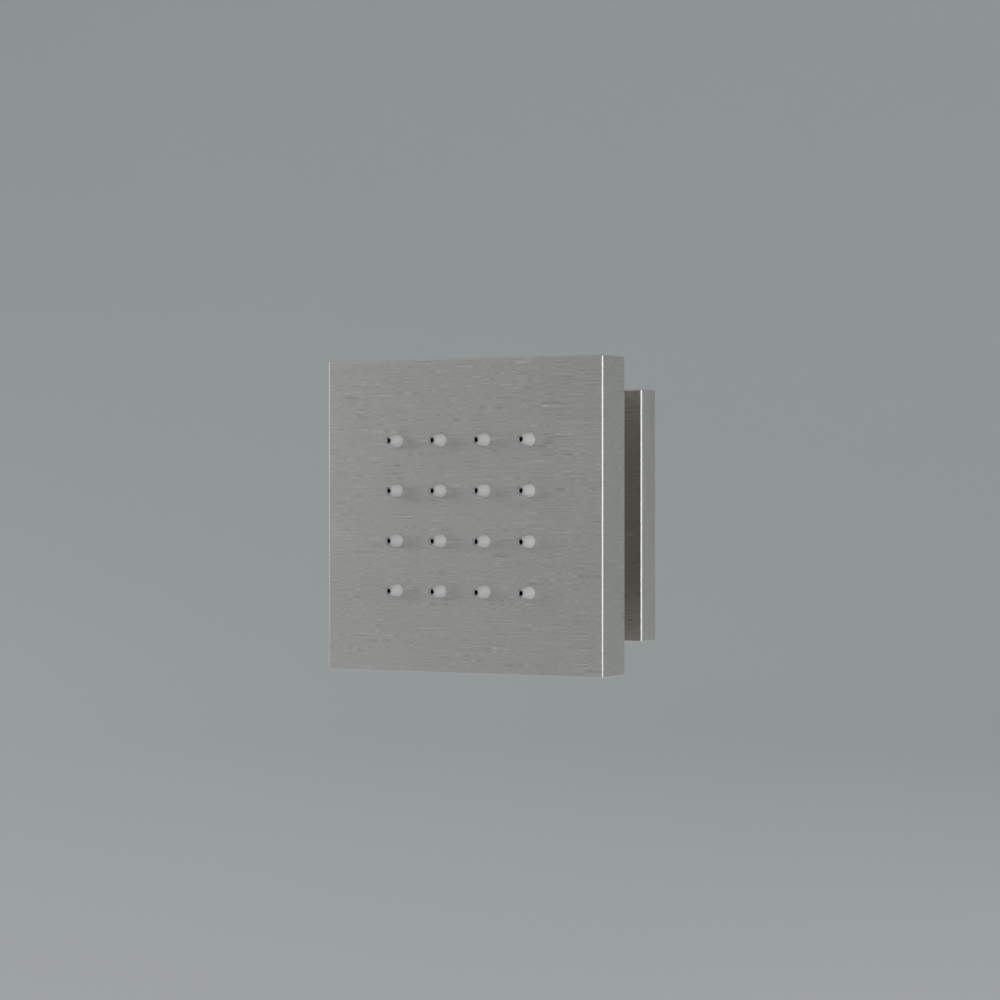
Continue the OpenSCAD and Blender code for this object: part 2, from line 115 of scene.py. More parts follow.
class ShowerColours(bpy.types.PropertyGroup):
    steel: colour("Brushed steel", "Brushed stainless steel of head and plate", (0.547, 0.524, 0.487, 1))
    cover_steel: colour("Back cover", "Duller steel of the head's back", (0.43, 0.415, 0.385, 1))
    bright_steel: colour("Bright steel", "Screws and spring", (0.62, 0.62, 0.61, 1))
    chrome: colour("Chrome", "Plated stem and nut", (0.66, 0.67, 0.68, 1))
    brass: colour("Brass", "Turned brass of nipple and boss", (0.66, 0.47, 0.22, 1))
    silicone: colour("Silicone", "Soft nozzles", (0.325, 0.325, 0.318, 1))
    # Painted shade: a near-black colour for the deep inside of the jet holes, where there is only shade.
    bore_shade: colour("Jet hole", "Dark inside of the jet holes", (0.006, 0.006, 0.006, 1))
    rubber: colour("Rubber", "Seals and gasket", (0.022, 0.022, 0.024, 1))
    white_plastic: colour("White plastic", "Rings, strainer and washers", (0.72, 0.71, 0.67, 1))
    grey_plastic: colour("Grey plastic", "Spray tray and lid", (0.085, 0.09, 0.095, 1))
    blue_plastic: colour("Blue plastic", "Flow regulator", (0.16, 0.33, 0.43, 1))


class ShowerStage(bpy.types.PropertyGroup):
    floor: colour("Floor", "Pale floor round the object", (0.495, 0.545, 0.557, 1))
    sky: amount("Sky", "Strength of the even light from above", 0.44)
    key: amount("Key light", "Power of the softbox at the front right, in watts", 27.0)
    fill: amount("Fill light", "Power of the softbox at the left, in watts", 15.0)
    bounce: amount("Bounce", "Power of the panel that lights from the floor, in watts", 0.3)
    view_side: bpy.props.FloatProperty(
        name="View azimuth", description="Camera's turn to the right of the head's axis",
        default=math.radians(29.0), subtype="ANGLE",
    )
    lens: amount("Lens", "Focal length in millimetres on a 36 mm sensor", 103.41)


# Outlines: each gives how far out an outline lies at an angle


def regular(sides, half_flats, phase=0.0):
    """A regular outline given by half its width across flats; phase turns a flat's middle."""
    part = 2 * math.pi / sides

    def at(angle):
        turned = (angle - phase + part / 2) % part - part / 2
        return half_flats / math.cos(turned)

    return at


def square(half):
    return regular(4, half)


def hexagon(half):
    return regular(6, half, math.radians(30))


def fluted(outer_r, count, flute_r, depth):
    """A round outline with grip flutes, each an arc of a circle beside it."""
    middle_r = outer_r + flute_r - depth
    part = 2 * math.pi / count

    def at(angle):
        turned = (angle + part / 2) % part - part / 2
        aside = middle_r * math.sin(turned)
        if abs(aside) >= flute_r:
            return outer_r
        return min(outer_r, middle_r * math.cos(turned) - math.sqrt(flute_r * flute_r - aside * aside))

    return at


# Mesh tools


def place(verts, outline, cap, z, centre=(0.0, 0.0)):
    """Lays vertices along an outline, no farther out than cap, each at its own angle."""
    for vert in verts:
        x = vert.co.x - centre[0]
        y = vert.co.y - centre[1]
        angle = math.atan2(y, x)
        r = min(outline(angle), cap) if outline else cap
        vert.co = (centre[0] + r * math.cos(angle), centre[1] + r * math.sin(angle), z)


def ring(bm, segments, outline, cap, z, centre=(0.0, 0.0)):
    """A closed loop of edges along an outline."""
    made = bmesh.ops.create_circle(bm, segments=segments, radius=1.0)["verts"]
    bmesh.ops.translate(bm, verts=made, vec=(centre[0], centre[1], 0))
    place(made, outline, cap, z, centre)
    return list({edge for vert in made for edge in vert.link_edges})


def grow(bm, loop, outline, cap, z, centre=(0.0, 0.0)):
    """Extrudes a loop and lays the new one along an outline."""
    made = bmesh.ops.extrude_edge_only(bm, edges=loop)["geom"]
    verts = {item for item in made if isinstance(item, bmesh.types.BMVert)}
    place(verts, outline, cap, z, centre)
    edges = {edge for vert in verts for edge in vert.link_edges}
    return [edge for edge in edges if edge.verts[0] in verts and edge.verts[1] in verts]


def stack(bm, segments, steps, centre=(0.0, 0.0)):
    """Grows a loop through (outline, cap, z) steps; a last step like the first closes it."""
    loop = ring(bm, segments, *steps[0], centre)
    for step in steps[1:]:
        loop = grow(bm, loop, *step, centre)
    return loop


def cap_loop(bm, loop):
    bmesh.ops.edgeloop_fill(bm, edges=loop)


def arc(centre_z, r, from_r, to_r, from_z_side, to_z_side, count):
    """Round steps along a sphere between two radii; each side is -1 behind its middle or 1 before it."""
    start = math.atan2(from_z_side * math.sqrt(r * r - from_r * from_r), from_r)
    end = math.atan2(to_z_side * math.sqrt(r * r - to_r * to_r), to_r)
    turns = [start + (end - start) * i / count for i in range(count + 1)]
    return [(None, r * math.cos(a), centre_z + r * math.sin(a)) for a in turns]


def hexagon_steps(flats, low, high, count=4):
    """A hexagon with turned chamfers at both ends."""
    outline = hexagon(flats / 2)
    corner_r = flats / 2 / math.cos(math.radians(30))
    chamfer = (corner_r - flats / 2) * 0.7
    rising = [(outline, corner_r - chamfer * (1 - i / count), low + chamfer / 2 * i / count) for i in range(count + 1)]
    falling = [(outline, corner_r - chamfer * i / count, high - chamfer / 2 * (1 - i / count)) for i in range(count + 1)]
    return rising + falling


def outermost(vert):
    return max(abs(vert.co.x), abs(vert.co.y))


def border(bm, half, z):
    """Edges of the square loop at half its width and at a height."""
    def on(vert):
        return abs(outermost(vert) - half) < MERGE_MM and abs(vert.co.z - z) < MERGE_MM

    found = []
    for edge in bm.edges:
        a, b = edge.verts
        same_side = any(
            abs(abs(a.co[i]) - half) < MERGE_MM and abs(a.co[i] - b.co[i]) < MERGE_MM for i in (0, 1)
        )
        if on(a) and on(b) and same_side:
            found.append(edge)
    return found


def thicken(bm, depth):
    """Turns a flat sheet into a slab behind it."""
    made = bmesh.ops.extrude_face_region(bm, geom=list(bm.faces), use_keep_orig=True)["geom"]
    bmesh.ops.translate(bm, verts=[v for v in made if isinstance(v, bmesh.types.BMVert)], vec=(0, 0, -depth))


def push_ring(bm, inner_half, from_z, to_z):
    """Extrudes the part of a face outside a square, from one height to another."""
    faces = [
        face for face in bm.faces
        if all(abs(v.co.z - from_z) < MERGE_MM and outermost(v) > inner_half - MERGE_MM for v in face.verts)
    ]
    made = bmesh.ops.extrude_face_region(bm, geom=faces)["geom"]
    bmesh.ops.translate(
        bm, verts=[v for v in made if isinstance(v, bmesh.types.BMVert)], vec=(0, 0, to_z - from_z)
    )
    bmesh.ops.delete(bm, geom=faces, context="FACES")


def round_outer_edges(bm, half, front_z, r, segments=6):
    """Bevels a slab's front outline and the four edges along its depth."""
    bmesh.ops.remove_doubles(bm, verts=bm.verts, dist=MERGE_MM)
    front = border(bm, half, front_z)
    depth = [
        edge for edge in bm.edges
        if all(abs(abs(v.co.x) - half) < MERGE_MM and abs(abs(v.co.y) - half) < MERGE_MM for v in edge.verts)
    ]
    bmesh.ops.bevel(
        bm, geom=list({*front, *depth}), offset=r, offset_type="OFFSET", segments=segments,
        affect="EDGES", profile=0.5, material=-1, clamp_overlap=False,
    )


def finish_piece(name, bm, body, nodes, material, bevel=0.0):
    """Turns the mesh out of the wall and makes it a piece that rides on a body."""
    bmesh.ops.remove_doubles(bm, verts=bm.verts, dist=MERGE_MM)
    bmesh.ops.recalc_face_normals(bm, faces=bm.faces)
    open_edges = [edge for edge in bm.edges if not edge.is_manifold]
    if open_edges:
        raise RuntimeError(f"{name} has {len(open_edges)} open edges")
    bmesh.ops.transform(bm, matrix=TO_ROW, verts=bm.verts)
    for face in bm.faces:
        face.smooth = True
    for edge in bm.edges:
        edge.smooth = edge.calc_face_angle(math.pi) < SHARP
    mesh = bpy.data.meshes.new(name)
    bm.to_mesh(mesh)
    bm.free()
    piece = bpy.data.objects.new(name, mesh)
    bpy.context.scene.collection.objects.link(piece)
    mesh.materials.append(material)
    if bevel:
        edges = piece.modifiers.new("edges", "BEVEL")
        edges.width = bevel / MM
        edges.segments = 2
        edges.limit_method = "ANGLE"
        edges.angle_limit = SHARP
        edges.use_clamp_overlap = True
    even = piece.modifiers.new("even_normals", "WEIGHTED_NORMAL")
    even.keep_sharp = not bevel
    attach(piece, body)
    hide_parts(*nodes)
    return piece


# Materials


class Value:
    """A socket that carries a number, so that an expression on it adds its Math nodes."""

    def __init__(self, finish, socket):
        self.finish = finish
        self.socket = socket

    def math(self, operation, *values):
        return self.finish.node("ShaderNodeMath", {"operation": operation}, dict(enumerate(values)))

    def __add__(self, other):
        return self.math("ADD", self, other)

    def __sub__(self, other):
        return self.math("SUBTRACT", self, other)

    def __mul__(self, other):
        return self.math("MULTIPLY", self, other)

    def __truediv__(self, other):
        return self.math("DIVIDE", self, other)

    def __radd__(self, other):
        return self.math("ADD", other, self)

    def __rsub__(self, other):
        return self.math("SUBTRACT", other, self)

    def __rmul__(self, other):
        return self.math("MULTIPLY", other, self)

    def __abs__(self):
        return self.math("ABSOLUTE", self)

    def above(self, limit):
        return self.math("GREATER_THAN", self, limit)


class Finish:
    """A procedural material: its nodes are added by one method."""

    def __init__(self, name):
        self.material = bpy.data.materials.new(name)
        self.material.use_nodes = True
        self.tree = self.material.node_tree
        self.tree.nodes.clear()
        self.coords = self.node("ShaderNodeTexCoord", output="Object")

    def node(self, kind, settings=None, inputs=None, output=None):
        """Adds a node: its settings first, then the values or links of its sockets."""
        made = self.tree.nodes.new(kind)
        for key, value in (settings or {}).items():
            if key == "stops":
                self.set_stops(made.color_ramp, value)
            else:
                setattr(made, key, value)
        for key, value in (inputs or {}).items():
            socket = self.pick(made.inputs, key)
            if isinstance(value, Value):
                self.tree.links.new(value.socket, socket)
            else:
                socket.default_value = value
        out = [s for s in made.outputs if s.enabled and (output is None or s.name == output)]
        return Value(self, out[0]) if out else None

    @staticmethod
    def pick(sockets, key):
        if isinstance(key, int):
            return sockets[key]
        return next(s for s in sockets if s.enabled and s.name == key)

    @staticmethod
    def set_stops(ramp, stops):
        while len(ramp.elements) < len(stops):
            ramp.elements.new(0.5)
        for element, (position, value) in zip(ramp.elements, stops):
            element.position = position
            element.color = (*value[:3], 1)

    def noise(self, scale, detail=2.0, roughness=0.5, vector=None):
        """Noise from 0 to 1 on the object's own coordinates, with its own scale along each axis."""
        stretched = self.node(
            "ShaderNodeMapping", {"vector_type": "POINT"}, {"Vector": vector or self.coords, "Scale": scale}
        )
        return self.node(
            "ShaderNodeTexNoise", {"noise_dimensions": "3D"},
            {"Vector": stretched, "Scale": 1.0, "Detail": detail, "Roughness": roughness}, "Fac",
        )

    def streaks(self, lines, patches, share, change):
        """Long straight lines, 0 on average; their strength is a share that changes from patch to patch."""
        strength = share + (self.noise(patches, 1.0, 0.5) - 0.5) * change
        return (self.noise(lines, 2.0, 0.6) - 0.5) * strength

    def facing(self, axis):
        """1 where the surface faces along an axis of the object, otherwise 0."""
        normal = self.node("ShaderNodeTexCoord", output="Normal")
        along = self.node("ShaderNodeSeparateXYZ", inputs={"Vector": normal}, output="XYZ"[axis])
        return abs(along).above(0.72)

    def between(self, value, start, end):
        """Runs smoothly from 0 to 1 as a value goes from start to end."""
        return self.node(
            "ShaderNodeMapRange", {"interpolation_type": "SMOOTHSTEP"},
            {"Value": value, "From Min": start, "From Max": end, "To Min": 0.0, "To Max": 1.0}, "Result",
        )

    def blend(self, first, second, mask):
        return self.node(
            "ShaderNodeMix", {"data_type": "RGBA"}, {"Factor": mask, "A": first, "B": second}, "Result"
        )

    def tint(self, base, share, mask):
        """The base colour, darker and lighter by a share as the mask runs from 0 to 1."""
        dark = tuple(c * (1 - share) for c in base[:3]) + (1,)
        light = tuple(min(1, c * (1 + share)) for c in base[:3]) + (1,)
        return self.blend(dark, light, mask)

    def shade(self, base, roughness, height=None, depth=0.0, strength=0.3, **fixed):
        """Joins the colour, roughness and height to the surface; fixed values stay on its sockets."""
        inputs = {"Base Color": base, "Roughness": roughness}
        inputs.update({key.replace("_", " "): value for key, value in fixed.items()})
        if height is not None:
            inputs["Normal"] = self.node(
                "ShaderNodeBump", None, {"Strength": strength, "Distance": depth, "Height": height}, "Normal"
            )
        surface = self.node("ShaderNodeBsdfPrincipled", None, inputs, "BSDF")
        self.node("ShaderNodeOutputMaterial", None, {"Surface": surface})
        return self.material


# How much lighter the steel is painted on sides that face along X: painted light, not a different steel.
PAINTED_SIDE_LIGHT = 1.14


def brushed_steel(name, base, upright_sides):
    """Stainless steel with fine streaks that run round the head, or upright on a plate's sides; sides that face along
    X get painted light, a lighter copy of the steel.
    """
    f = Finish(name)
    fine = f.streaks((60, 60, 3400), (420, 420, 350), 0.22, 7.2)
    level = 0.5 + fine + f.streaks((30, 30, 1900), (130, 130, 160), 0.1, 2.2)
    fine = f.streaks((60, 3400, 3400), (420, 350, 350), 0.22, 7.2)
    across = 0.5 + fine + f.streaks((30, 1900, 1900), (130, 160, 160), 0.1, 2.2)
    top = f.facing(2)
    streaks = level + (across - level) * top
    side = f.facing(0)
    if upright_sides:
        upright = f.noise((2800, 2400, 60), 2.0, 0.6) * 0.65 + f.noise((1500, 1000, 26), 2.0, 0.5) * 0.35
        streaks = streaks + (upright - streaks) * side
    cloud = f.noise((14, 14, 22), 2.0, 0.5)
    tone = streaks * 0.85 + cloud * 0.15
    # Painted light: sides that face along X blend into a lighter copy of the steel.
    lighter = tuple(c * PAINTED_SIDE_LIGHT for c in base[:3]) + (1,)
    return f.shade(
        f.blend(f.tint(base, 0.49, tone), f.tint(lighter, 0.49, tone), side), 0.28 + streaks * 0.14, streaks, 0.00001, 0.35, Metallic=1.0
    )


def plated(name, base, roughness):
    """Smooth plated or polished metal with faint water marks."""
    f = Finish(name)
    marks = f.noise((90, 90, 90), 4.0, 0.6)
    fine = f.noise((1600, 1600, 1600), 2.0, 0.5)
    return f.shade(
        f.tint(base, 0.05, marks), roughness + marks * 0.07, fine, 0.000004, 0.2, Metallic=1.0
    )


def turned_metal(name, base, roughness):
    """Lathe-turned metal, with fine rings round the axis that points out of the wall."""
    f = Finish(name)
    rings = f.noise((60, 4200, 60), 2.0, 0.6)
    stain = f.noise((120, 120, 120), 4.0, 0.6)
    return f.shade(
        f.tint(base, 0.14, rings * 0.5 + stain * 0.5), roughness + rings * 0.14, rings, 0.00001, 0.4, Metallic=1.0
    )


def moulded(name, base, roughness, grain=1500, share=0.05, **fixed):
    """Moulded plastic or rubber with a fine matt grain and slow changes of tone."""
    f = Finish(name)
    fine = f.noise((grain, grain, grain), 3.0, 0.55)
    flow = f.noise((45, 45, 45), 3.0, 0.5)
    return f.shade(
        f.tint(base, share, flow * 0.6 + fine * 0.4), roughness + fine * 0.12, fine, 0.00002, 0.25, **fixed
    )


def silicone(name, base, tip_out):
    """Soft silicone, with painted shade: a little darker towards the tip of each nozzle and dark on its flat end."""
    f = Finish(name)
    fine = f.noise((1900, 1900, 1900), 3.0, 0.55)
    flow = f.noise((120, 120, 120), 3.0, 0.5)
    y = f.node("ShaderNodeSeparateXYZ", inputs={"Vector": f.coords}, output="Y")
    # Painted shade: the flat end and the last part of each nozzle are darkened.
    flat_end_shade_mask = f.between(y, -tip_out + 0.0003, -tip_out + 0.00005)
    tip_shade_mask = f.between(y, -tip_out + 0.0024, -tip_out + 0.0004)
    painted_tip_shade = tuple(c * 0.55 for c in base[:3]) + (1,)
    toned = f.tint(base, 0.16, flow * 0.5 + fine * 0.5)
    return f.shade(
        f.blend(toned, painted_tip_shade, flat_end_shade_mask + tip_shade_mask * 0.25 * (1 - flat_end_shade_mask)), 0.38 + fine * 0.14,
        fine, 0.000015, 0.25, Subsurface_Weight=0.6, Subsurface_Radius=(1.0, 1.0, 1.0),
        Subsurface_Scale=0.0015, Specular_IOR_Level=0.45,
    )


def material(name):
    """The finish of a name, made when it is first asked for."""
    made_name = name + "_finish"
    found = bpy.data.materials.get(made_name)
    if found:
        return found
    c = bpy.context.scene.shower_colours
    makers = {
        "brushed_steel": lambda: brushed_steel(made_name, c.steel, False),
        "brushed_plate": lambda: brushed_steel(made_name, c.steel, True),
        "brushed_cover": lambda: brushed_steel(made_name, c.cover_steel, False),
        "bright_steel": lambda: turned_metal(made_name, c.bright_steel, 0.22),
        "chrome": lambda: plated(made_name, c.chrome, 0.08),
        "brass": lambda: turned_metal(made_name, c.brass, 0.24),
        # Painted shade for the faces deep in the jet holes.
        "nozzle_bore": lambda: moulded(made_name, c.bore_shade, 0.6),
        "nozzle_silicone": lambda: silicone(made_name, c.silicone, reach("nozzle_mat")[1] / MM),
        "black_rubber": lambda: moulded(made_name, c.rubber, 0.55, 1800, 0.15),
        "white_plastic": lambda: moulded(made_name, c.white_plastic, 0.38),
        "grey_plastic": lambda: moulded(made_name, c.grey_plastic, 0.46, 1100),
        "blue_plastic": lambda: moulded(made_name, c.blue_plastic, 0.36),
    }
    return makers[name]()


def millimetres():
    """The sizes in millimetres."""
    group = bpy.context.scene.shower_sizes
    whole = ("nozzle_count", "nut_flutes")
    return {
        key: getattr(group, key) * (1 if key in whole else MM) for key in group.__annotations__
    }


def nozzle_places(s):
    reach_out = (s["nozzle_count"] - 1) / 2
    steps = [(i - reach_out) * s["nozzle_pitch"] for i in range(s["nozzle_count"])]
    return [(x, y) for x in steps for y in steps]


def put_materials(pairs):
    """Gives CAD nodes that keep their shape a finish and its slot."""
    for node, slot in pairs:
        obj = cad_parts[node]
        obj.data.materials.clear()
        obj.data.materials.append(material(slot))


class ShowerOperator:
    bl_options = {"REGISTER", "UNDO"}

    def execute(self, context):
        self.build(context, millimetres())
        return {"FINISHED"}


BLOCK_PLACE = 44.0
BLOCK_HALF = 4.5
TAP_R = 1.52


class SHOWER_OT_head_shell(ShowerOperator, bpy.types.Operator):
    """Build the folded front and sides of the head, with its nozzle holes and corner blocks"""
    bl_idname = "shower.head_shell"
    bl_label = "Head shell"

    def build(self, context, s):
        back, front = reach("head_shell")
        half = s["head_w"] / 2
        inner = half - s["shell_wall"]
        hole_r = s["nozzle_root_d"] / 2 + 0.05
        grid_half = s["nozzle_count"] * s["nozzle_pitch"] / 2
        bm = bmesh.new()
        for centre in nozzle_places(s):
            loop = ring(bm, 48, None, hole_r, front, centre)
            loop = grow(bm, loop, None, hole_r + 0.6, front, centre)
            grow(bm, loop, square(s["nozzle_pitch"] / 2), ROUND, front, centre)
        bmesh.ops.remove_doubles(bm, verts=bm.verts, dist=MERGE_MM)
        loop = border(bm, grid_half, front)
        loop = grow(bm, loop, square(inner), ROUND, front)
        grow(bm, loop, square(half), ROUND, front)
        thicken(bm, s["shell_wall"])
        bmesh.ops.remove_doubles(bm, verts=bm.verts, dist=MERGE_MM)
        push_ring(bm, inner, front - s["shell_wall"], back)
        round_outer_edges(bm, half, front, s["edge_r"])
        cover_front = reach("back_cover")[1]
        for x in (-BLOCK_PLACE, BLOCK_PLACE):
            for y in (-BLOCK_PLACE, BLOCK_PLACE):
                tap = ring(bm, 24, None, TAP_R, cover_front + 6.5, (x, y))
                cap_loop(bm, tap)
                loop = grow(bm, tap, None, TAP_R, cover_front, (x, y))
                loop = grow(bm, loop, square(BLOCK_HALF), ROUND, cover_front, (x, y))
                loop = grow(bm, loop, square(BLOCK_HALF), ROUND, front - s["shell_wall"], (x, y))
                cap_loop(bm, loop)
        finish_piece("brushed_shell", bm, "head", ["head_shell"], material("brushed_steel"))


class SHOWER_OT_nozzle_mat(ShowerOperator, bpy.types.Operator):
    """Build the soft mat from which all nozzles grow"""
    bl_idname = "shower.nozzle_mat"
    bl_label = "Nozzles"

    def build(self, context, s):
        mat_back, tip_z = reach("nozzle_mat")
        face_z = reach("head_shell")[1]
        mat_front = face_z - s["shell_wall"]
        root_r = s["nozzle_root_d"] / 2
        tip_r = s["nozzle_tip_d"] / 2
        jet_r = s["jet_d"] / 2
        out = tip_z - face_z
        straight = out * 0.05
        rim_r = 0.2
        lip_r = 0.06
        lit_depth = 1.0
        taper = out - straight - rim_r
        cell = square(s["nozzle_pitch"] / 2)
        steps = [(root_r, mat_front), (root_r, face_z)]
        for i in range(11):
            t = i / 10
            steps.append((tip_r + (root_r - tip_r) * (1 - t ** 1.1), face_z + straight + taper * t))
        for i in range(1, 6):
            a = math.radians(90 * i / 5)
            steps.append((tip_r - rim_r * (1 - math.cos(a)), tip_z - rim_r + rim_r * math.sin(a)))
        steps += [
            (jet_r + lip_r, tip_z), (jet_r, tip_z - lip_r), (jet_r, tip_z - lit_depth),
            (jet_r, face_z + out * 0.3), (1.3, mat_back),
        ]
        bm = bmesh.new()
        for centre in nozzle_places(s):
            root = ring(bm, 48, None, root_r, mat_front, centre)
            loop = root
            for r, z in steps[1:]:
                loop = grow(bm, loop, None, r, z, centre)
            grow(bm, loop, cell, ROUND, mat_back, centre)
            grow(bm, root, cell, ROUND, mat_front, centre)
        bmesh.ops.remove_doubles(bm, verts=bm.verts, dist=MERGE_MM)
        grid_half = s["nozzle_count"] * s["nozzle_pitch"] / 2
        low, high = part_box("nozzle_mat")
        core_half = high.x * MM
        notch = 2 * BLOCK_HALF
        for z in (mat_front, mat_back):
            grow(bm, border(bm, grid_half, z), square(core_half - notch), ROUND, z)
            for axis in (0, 1):
                for side in (-1, 1):
                    arm_start = side * (core_half - notch)
                    chain = [
                        e for e in border(bm, core_half - notch, z)
                        if all(abs(v.co[axis] - arm_start) < MERGE_MM for v in e.verts)
                    ]
                    made = bmesh.ops.extrude_edge_only(bm, edges=chain)["geom"]
                    move = [0, 0, 0]
                    move[axis] = side * notch
                    bmesh.ops.translate(bm, verts=[v for v in made if isinstance(v, bmesh.types.BMVert)], vec=move)
        rim = [e for e in bm.edges if e.is_boundary and abs(e.verts[0].co.z - mat_front) < MERGE_MM]
        made = bmesh.ops.extrude_edge_only(bm, edges=rim)["geom"]
        bmesh.ops.translate(
            bm, verts=[v for v in made if isinstance(v, bmesh.types.BMVert)], vec=(0, 0, mat_back - mat_front)
        )
        # Faces deeper in the jet hole than lit_depth get the near-black painted shade.
        for face in bm.faces:
            middle = face.calc_center_median()
            inside = any(math.hypot(middle.x - x, middle.y - y) < jet_r for x, y in nozzle_places(s))
            if inside and middle.z < tip_z - lit_depth:
                face.material_index = 1
        piece = finish_piece(
            "soft_nozzles", bm, "head", ["nozzle_mat"], material("nozzle_silicone")
        )
        piece.data.materials.append(material("nozzle_bore"))


class SHOWER_OT_back_cover(ShowerOperator, bpy.types.Operator):
    """Build the square cover let into the head's back, and its four countersunk screws"""
    bl_idname = "shower.back_cover"
    bl_label = "Back cover and screws"

    def build(self, context, s):
        back, front = reach("back_cover")
        half = span("back_cover", 0) * MM / 2
        hole_r = 9.1
        head_r, shank_r, head_t = 2.9, 1.5, 1.1
        places = [(x, y) for x in (-BLOCK_PLACE, BLOCK_PLACE) for y in (-BLOCK_PLACE, BLOCK_PLACE)]
        bm = bmesh.new()
        rims = {back: [], front: []}
        outer = ring(bm, 96, square(half), ROUND, back)
        rims[back] += outer
        rims[front] += grow(bm, outer, square(half), ROUND, front)
        hole = ring(bm, 96, None, hole_r, back)
        rims[back] += hole
        rims[front] += grow(bm, hole, None, hole_r, front)
        for centre in places:
            sink = ring(bm, 48, None, head_r + 0.05, back, centre)
            rims[back] += sink
            loop = grow(bm, sink, None, shank_r + 0.1, back + head_t, centre)
            rims[front] += grow(bm, loop, None, shank_r + 0.1, front, centre)
        for edges in rims.values():
            bmesh.ops.triangle_fill(bm, use_beauty=True, use_dissolve=False, edges=edges)
        finish_piece("brushed_back_cover", bm, "head", ["back_cover"], material("brushed_cover"))
        bm = bmesh.new()
        end = reach("cover_screws")[1]
        socket = hexagon(0.953)
        for centre in places:
            floor = ring(bm, 48, socket, ROUND, back + 0.9, centre)
            cap_loop(bm, floor)
            loop = floor
            for outline, cap, z in (
                (socket, ROUND, back + 0.1), (socket, 1.15, back), (None, head_r - 0.1, back),
                (None, head_r, back + 0.08), (None, shank_r, back + head_t), (None, shank_r, end - 0.3),
                (None, shank_r - 0.3, end),
            ):
                loop = grow(bm, loop, outline, cap, z, centre)
            cap_loop(bm, loop)
        finish_piece("countersunk_screws", bm, "head", ["cover_screws"], material("bright_steel"))


class SHOWER_OT_wall_plate(ShowerOperator, bpy.types.Operator):
    """Build the square wall plate, a shallow hollow cover with a ledge for its gasket"""
    bl_idname = "shower.wall_plate"
    bl_label = "Wall plate"

    def build(self, context, s):
        back, front = reach("wall_plate")
        half = s["plate_w"] / 2
        inner = half - s["plate_wall"]
        ledge_depth = reach("wall_gasket")[1]
        ledge = half - 2.0
        face_back = front - s["plate_face"]
        bm = bmesh.new()
        loop = ring(bm, 96, None, 12.2, front)
        for outline in (square(18), square(inner), square(ledge), square(half)):
            loop = grow(bm, loop, outline, ROUND, front)
        thicken(bm, s["plate_face"])
        bmesh.ops.remove_doubles(bm, verts=bm.verts, dist=MERGE_MM)
        push_ring(bm, inner, face_back, ledge_depth)
        push_ring(bm, ledge, ledge_depth, back)
        round_outer_edges(bm, half, front, s["edge_r"])
        finish_piece("brushed_wall_plate", bm, "wall_side", ["wall_plate"], material("brushed_plate"))


class SHOWER_OT_wall_nipple(ShowerOperator, bpy.types.Operator):
    """Build the inlet nipple with its pipe thread, hexagon, collar and bores"""
    bl_idname = "shower.wall_nipple"
    bl_label = "Wall nipple"

    def build(self, context, s):
        start, end = reach("wall_nipple")
        hex_start, collar_start = 0.6, 6.1
        thread_r = 20.955 / 2
        root_r = thread_r - s["thread_depth"]
        pitch = s["thread_pitch"]
        a_turn = 48
        turns = math.ceil((hex_start - start) / pitch) + 2
        bm = bmesh.new()
        shape = [(0, root_r), (0.12, root_r + 0.08), (0.38, thread_r - 0.08), (0.5, thread_r),
                 (0.62, thread_r - 0.08), (0.88, root_r + 0.08), (1, root_r)]
        chain = [bm.verts.new((r, 0, start - 1.5 * pitch + t * pitch)) for t, r in shape]
        edges = [bm.edges.new(pair) for pair in zip(chain, chain[1:])]
        bmesh.ops.spin(
            bm, geom=chain + edges, cent=(0, 0, 0), axis=(0, 0, 1), dvec=(0, 0, pitch / a_turn),
            angle=2 * math.pi * turns, steps=a_turn * turns, use_merge=False, use_duplicate=False,
        )
        bmesh.ops.remove_doubles(bm, verts=bm.verts, dist=MERGE_MM)
        rims = {}
        for z, above in ((start, False), (hex_start, True)):
            bmesh.ops.bisect_plane(
                bm, geom=[*bm.verts, *bm.edges, *bm.faces], dist=1e-5, plane_co=(0, 0, z), plane_no=(0, 0, 1),
                clear_outer=above, clear_inner=not above,
            )
        lead = 1.0
        for vert in bm.verts:
            r = math.hypot(vert.co.x, vert.co.y)
            most = thread_r - max(0.0, start + lead - vert.co.z)
            if r > most:
                vert.co.x *= most / r
                vert.co.y *= most / r
        for z in (start, hex_start):
            rims[z] = [
                e for e in bm.edges if e.is_boundary and all(abs(v.co.z - z) < MERGE_MM for v in e.verts)
            ]
        groove = (8.15, 9.35)
        steps = hexagon_steps(24, hex_start, collar_start)
        steps += [
            (None, 12.0, collar_start), (None, 12.0, groove[0]), (None, 11.0, groove[0]),
            (None, 11.0, groove[1]), (None, 12.0, groove[1]), (None, 12.0, end), (None, 8.41, end),
            (None, 8.41, 1.3), (None, 6.0, 1.3), (None, 6.0, start + 5.5), (None, 8.0, start + 5.5),
            (None, 8.0, start),
        ]
        loop = ring(bm, 96, *steps[0])
        rims[hex_start] += loop
        for step in steps[1:]:
            loop = grow(bm, loop, *step)
        rims[start] += loop
        for edges in rims.values():
            bmesh.ops.triangle_fill(bm, use_beauty=True, use_dissolve=False, edges=edges)
        finish_piece("threaded_nipple", bm, "wall_side", ["wall_nipple"], material("brass"))


